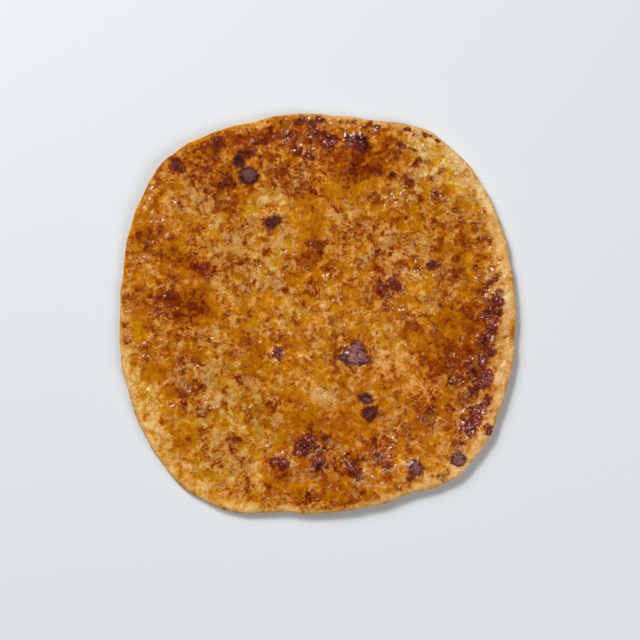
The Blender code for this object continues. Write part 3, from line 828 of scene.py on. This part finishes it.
crust = graph.add("ShaderNodeValToRGB", {"Fac": toasted})
ramp = crust.node.color_ramp
for index, (at, *colour) in enumerate(TOASTING):
    stop = ramp.elements[index] if index < 2 else ramp.elements.new(at)
    stop.position = at
    stop.color = linear(*colour)
floury = times(dry, step(toasted, 0.6, 0.3, 0, 0.45))
colour = blend(floury, crust, FLOURY)
raw = noise(place, 7, 1.5, seed=26, distortion=0.6)
raw = step(times_plus(dry, 0.08, raw), 0.54, 0.7, 0, 0.5)
raw = times(raw, step(toasted, 0.62, 0.4))
raw = times(raw, step(pale, 0.7, 0.1))
colour = blend(raw, colour, RAW)
print("toasting:", len(graph.tree.nodes), "nodes")

# %% [markdown]
# Clarified butter soaks the dough near its level, the gaps before the tufts, and darkens it. It glazes
# what lies below its level, from thin gold to deep amber. Along the lip on the window side it is
# deeper:
# butter, and painted shade that takes back the light that the lip catches there.

# %% Butter
depth = swing(crumb, -0.8, swing(tufts, -1.6, butter))
depth = times_plus(pale, -0.6, depth)
# Painted shade: the glaze on the lip deepens towards the window side, against the light it catches
# there.
window_side_lip_shade = step(graph.add("ShaderNodeSeparateXYZ", {"Vector": place}), 20, -40, 0, 0.8)
lip = larger(times(pale, step(inset, 9, 3)), step(inset, 4, 1))
depth = plus(depth, times(window_side_lip_shade, lip))
soaked = step(depth, -0.72, 0.06)
colour = blend(soaked, colour, blend(1, colour, SOAKED, "MULTIPLY"))
shade = swing(patches, 0.6, swing(mottle, 1.3, butter))
shade = times_plus(freckle, 0.75, swing(crumb, -1, shade))
shade = times_plus(lighter, -0.45, shade)
amber = graph.three_colours(shade, (-0.3, 0.5), (0.45, 1.35), BUTTER)
glaze = step(depth, -0.25, 0.6, 0, 0.74)
glaze = times(glaze, step(toasted, 0.92, 0.6, 0.15, 1))
colour = blend(glaze, colour, amber)

hue = step(redder, -1, 1, kind="LINEAR")
tint = blend(hue, linear(253, 255, 252), linear(255, 236, 232))
colour = blend(1, colour, tint, "MULTIPLY")

creamy = times_plus(lighter, 0.22, 0.36, clamp=True)
colour = blend(times(curds, creamy), colour, CURD)
print("butter:", len(graph.tree.nodes), "nodes")

# %% [markdown]
# Burnt crust is maroon rather than brown, and keeps the look of its tufts. Blisters that stayed whole
# have a crown of ash, dark at its foot and mauve to grey on top.

# %% Burnt crust
black = swing(crumb, -0.8, swing(tufts, -2.2, swing(mottle, 1.2, char)))
black = graph.three_colours(black, (0.2, 0.65), (0.78, 1.28), CHARRED)
colour = blend(burnt, colour, black)
plate = step(swing(crumb, 0.5, swing(specks, 0.5, ash)), 0.18, 0.46)
drawn_out = graph.vector("MULTIPLY", place, (0.5, 1.1, 1))
streaks = noise(drawn_out, 1.6, 1.5, 0.6, seed=27, distortion=0.8)
greyness = swing(streaks, 1.6, swing(mottle, 0.8, ash))
crown = graph.three_colours(greyness, (0.34, 0.66), (0.64, 1.08), ASHEN)
colour = blend(plate, colour, graph.scaled(crown, times_plus(lighter, 0.55, 1)))
print("burnt crust:", len(graph.tree.nodes), "nodes")

# %% [markdown]
# Wet dough glistens. The crumb's bumps alone would give glints as fine as the crumb, so the gloss is a
# clear coat with wider bumps of its own, as a film of butter has.

# %% Gloss
gloss = noise(place, 9, seed=18)
pooled = step(butter, 0, 0.3)
shine = times_plus(pale, -0.25, shine)
wet = step(swing(gloss, 2.6, swing(tufts, -0.8, shine)), 0.2, 0.75)
wet = larger(larger(wet, pooled), times(curds, step(shine, 0.25, 0.45, 0, 0.8)))
wet = times(times(wet, step(inset, 0.4, 3)), times_plus(burnt, -0.08, 0.75))
roughness = graph.mix(wet, 0.52, 0.3)
strength = times(graph.mix(pooled, 0.8, 0.12), step(ash, 0.1, 0.6, 1, 0.85))
crumbs = {"Height": relief, "Strength": strength, "Distance": 1.2 * MM}
ripples = noise(place, 2.8, 0.4, seed=24, distortion=0.4)
film = {"Height": ripples, "Strength": strength, "Distance": 1.6 * MM}
graph.fill(shader, {
    "Base Color": colour, "Roughness": roughness, "Normal": graph.add("ShaderNodeBump", crumbs),
    "Coat Weight": wet, "Coat Normal": graph.add("ShaderNodeBump", film), "Coat Roughness": 0.16,
    "Specular IOR Level": 0.03,
})
print("crust:", len(graph.tree.nodes), "nodes")

# %% [markdown]
# A Geometry Nodes modifier runs the tree on the skin. It gets its inputs by each socket's identifier,
# before the object is first evaluated. Its result is then made a plain mesh, and what it started from
# is removed, with the lists of marks.

# %% Shape the skin
def reshaped(piece, tree, name, values):
    """What the tree makes of the piece, as a plain mesh object of that name."""
    modifier = piece.modifiers.new(name, "NODES")
    modifier.node_group = tree
    for item in tree.interface.items_tree:
        if item.in_out == "INPUT" and item.name in values:
            modifier[item.identifier] = values[item.name]
    evaluated = piece.evaluated_get(bpy.context.evaluated_depsgraph_get())
    data = bpy.data.meshes.new_from_object(evaluated)
    bpy.data.objects.remove(piece)
    data.name = name
    sides = zip(*(vert.co for vert in data.vertices))
    size = [round((max(side) - min(side)) / MM, 1) for side in sides]
    print(f"{name}: {len(data.polygons)} faces, {size} mm")
    return new_object(name, data)


bread = reshaped(skin, fried_surface, "paratha_bread", marks | {
    "Hill Height": 2.0, "Lump Height": 2.4, "Wrinkle Height": 1.6, "Dry Level": -0.1,
    "Top": 7.45 * MM, "Material": fried_crust,
})
for used in marks.values():
    bpy.data.objects.remove(used)
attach(bread, "root")
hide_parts("paratha")

# %% [markdown]
# ## Burnt blisters
#
# Where the pan was hottest, the crust has boiled up into small glossy blisters. They are too small and
# too steep for the skin's cells, so they are domes of their own, scattered on the scorches: Distribute
# Points on Faces keeps them a least distance apart, and the scorch attribute says how many there are.

# %% The tree that scatters blisters: first their points and sizes
graph, given, result = group_tree(
    "burnt_blisters", Geometry="Geometry", Object="Bread", Int="Seed", Material="Material",
    Float="Spacing, Per Square Metre, Smallest, Largest, Unevenness, Voxel, Top",
)
below = graph.add("GeometryNodeObjectInfo", {"Object": given["Bread"]}, "Geometry")
scorched = graph.step(graph.kept("scorch"), 0.35, 0.8)
scorched = graph.times(scorched, graph.step(graph.kept("shine"), 0.7, 1.1))
place = place_in_mm(graph)
clumps = graph.step(graph.noise(place, 5, 1, seed=21), 0.38, 0.52)
points = graph.add("GeometryNodeDistributePointsOnFaces", {
    "Mesh": below, "Selection": graph.math("GREATER_THAN", graph.kept("upper"), 0.5),
    "Distance Min": given["Spacing"], "Density Max": given["Per Square Metre"],
    "Density Factor": graph.times(scorched, clumps), "Seed": given["Seed"],
}, distribute_method="POISSON")
slant = points.node.outputs["Rotation"]
least, most = (
    graph.add("ShaderNodeCombineXYZ", dict.fromkeys(range(3), given[name]))
    for name in ("Smallest", "Largest")
)
inputs = {0: least, 1: most, "Seed": 5}
sizes = graph.add("FunctionNodeRandomValue", inputs, data_type="FLOAT_VECTOR")
flat = graph.vector("MULTIPLY", sizes, (1, 1, 0.4))
print("points:", len(graph.tree.nodes), "nodes")

# %% Domes on the points, made uneven and melted into one skin
dome = graph.add("GeometryNodeMeshIcoSphere", {"Radius": 1, "Subdivisions": 2})
inputs = {"Points": points, "Instance": dome, "Rotation": slant, "Scale": flat}
domes = graph.add("GeometryNodeInstanceOnPoints", inputs)
joined = graph.add("GeometryNodeRealizeInstances", {"Geometry": domes})
uneven = graph.vector("SUBTRACT", graph.noise(place, 1.6, 1, seed=22, out=1), (0.5, 0.5, 0.5))
uneven = graph.scaled(uneven, given["Unevenness"])
joined = graph.add("GeometryNodeSetPosition", {"Geometry": joined, "Offset": uneven})
solid = graph.add("GeometryNodeMeshToVolume", {
    "Mesh": joined, "Voxel Size": given["Voxel"], "Interior Band Width": 2 * MM,
}, resolution_mode="VOXEL_SIZE")
joined = graph.add("GeometryNodeVolumeToMesh", {
    "Volume": solid, "Voxel Size": given["Voxel"], "Threshold": 0.1, "Adaptivity": 0,
}, resolution_mode="VOXEL_SIZE")
position = graph.add("GeometryNodeInputPosition")
inputs = {"Value": position, "Iterations": 12}
blurred = graph.add("GeometryNodeBlurAttribute", inputs, data_type="FLOAT_VECTOR")
joined = set_under(graph, joined, blurred, 0, given["Top"])
joined = graph.add("GeometryNodeSetShadeSmooth", {"Geometry": joined})
inputs = {"Mesh": below, "Value": graph.kept("char"), "Sample Position": position}
charred = graph.add("GeometryNodeSampleNearestSurface", inputs, data_type="FLOAT")
scattering = closed(graph, graph.keep(joined, "char", charred), given, result)
print("blister tree:", len(scattering.nodes), "nodes")

# %% [markdown]
# The blisters take how burnt they are from the crust below them. Their skin is thin, tight and glossy,
# so one glossy layer with fine bumps does, in purple-brown colours, and its glints have a mauve tint.

# %% The blisters' glossy, purple-brown skin
blister_skin, graph, shader = new_material("burnt_blister")
place = graph.scaled(graph.add("ShaderNodeTexCoord", out="Object"), 1 / MM)
mottle = graph.noise(place, 2.6, seed=23)
burnt = graph.plus(graph.field("char"), graph.times(graph.minus(mottle, 0.5), 1.6))
grit = graph.noise(place, 1.7, 1, seed=31)
bumps = {"Height": grit, "Strength": 0.9, "Distance": 1.8 * MM}
graph.fill(shader, {
    "Base Color": graph.three_colours(burnt, (0.35, 0.75), (0.85, 1.3), BLISTERED),
    "Normal": graph.add("ShaderNodeBump", bumps), "Roughness": 0.28,
    "Specular IOR Level": 0.8, "Specular Tint": (1, 0.7, 0.8, 1),
})
print("blister skin:", len(graph.tree.nodes), "nodes")

# %% Scatter the blisters
start = new_object("no_blisters_yet", bpy.data.meshes.new("no_blisters_yet"))
blisters = reshaped(start, scattering, "burnt_blisters", {
    "Bread": bread, "Spacing": 1.4 * MM, "Per Square Metre": 8.0e5, "Smallest": 0.8 * MM,
    "Largest": 2 * MM, "Unevenness": 1.4 * MM, "Voxel": 0.25 * MM, "Seed": 4, "Top": 7.5 * MM,
    "Material": blister_skin,
})
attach(blisters, "root")

# %% [markdown]
# ## Floor, lights and camera
#
# The bread lies on a pale, matt surface. A large soft light and a small harder one stand on the same
# side, as a window and a lamp do, so that the relief has a lit and a shaded side and wet dough has
# glints. A weak light from the other side fills the shadows. The camera looks straight down.

# %% The floor
mesh = bmesh.new()
bmesh.ops.create_grid(mesh, x_segments=1, y_segments=1, size=1.5)
data = bpy.data.meshes.new("floor")
mesh.to_mesh(data)
mesh.free()
floor = new_object("floor", data)
material, graph, shader = new_material("pale_floor")
graph.fill(shader, {"Base Color": linear(226, 230, 234), "Roughness": 0.6})
data.materials.append(material)
print("floor:", [round(side, 2) for side in floor.dimensions], "m")

# %% The lights
def add_light(name, place, size, energy, colour=(1, 1, 1)):
    light = bpy.data.lights.new(name, "AREA")
    light.shape = "DISK"
    light.size = size
    light.energy = energy
    light.color = colour
    lamp = new_object(name, light)
    lamp.location = place
    lamp.rotation_euler = (-Vector(place)).to_track_quat("-Z", "Y").to_euler()
    print(f"{name}: {energy} W, {size} m across")


add_light("window", (-1, 1.15, 1.55), 1.3, 30)
add_light("lamp", (-0.8, 1.2, 1.6), 0.4, 17)
add_light("fill", (1.3, -0.9, 1.3), 1.4, 20)
world = bpy.data.worlds.new("studio")
world.use_nodes = True
background = world.node_tree.nodes["Background"].inputs
background["Color"].default_value = (1, 1, 1, 1)
background["Strength"].default_value = 0.02
bpy.context.scene.world = world
bpy.context.scene.view_settings.view_transform = "Standard"

# %% The camera
FRAME_WIDTH = 0.32
LENS = 85
SENSOR = 36
camera_data = bpy.data.cameras.new("camera")
camera_data.lens = LENS
camera_data.sensor_width = SENSOR
camera = new_object("camera", camera_data)
camera.location = (1.25 * MM, -3.25 * MM, FRAME_WIDTH * LENS / SENSOR + 5 * MM)
bpy.context.scene.camera = camera
print("camera:", round(camera.location.z, 3), "m above the floor")
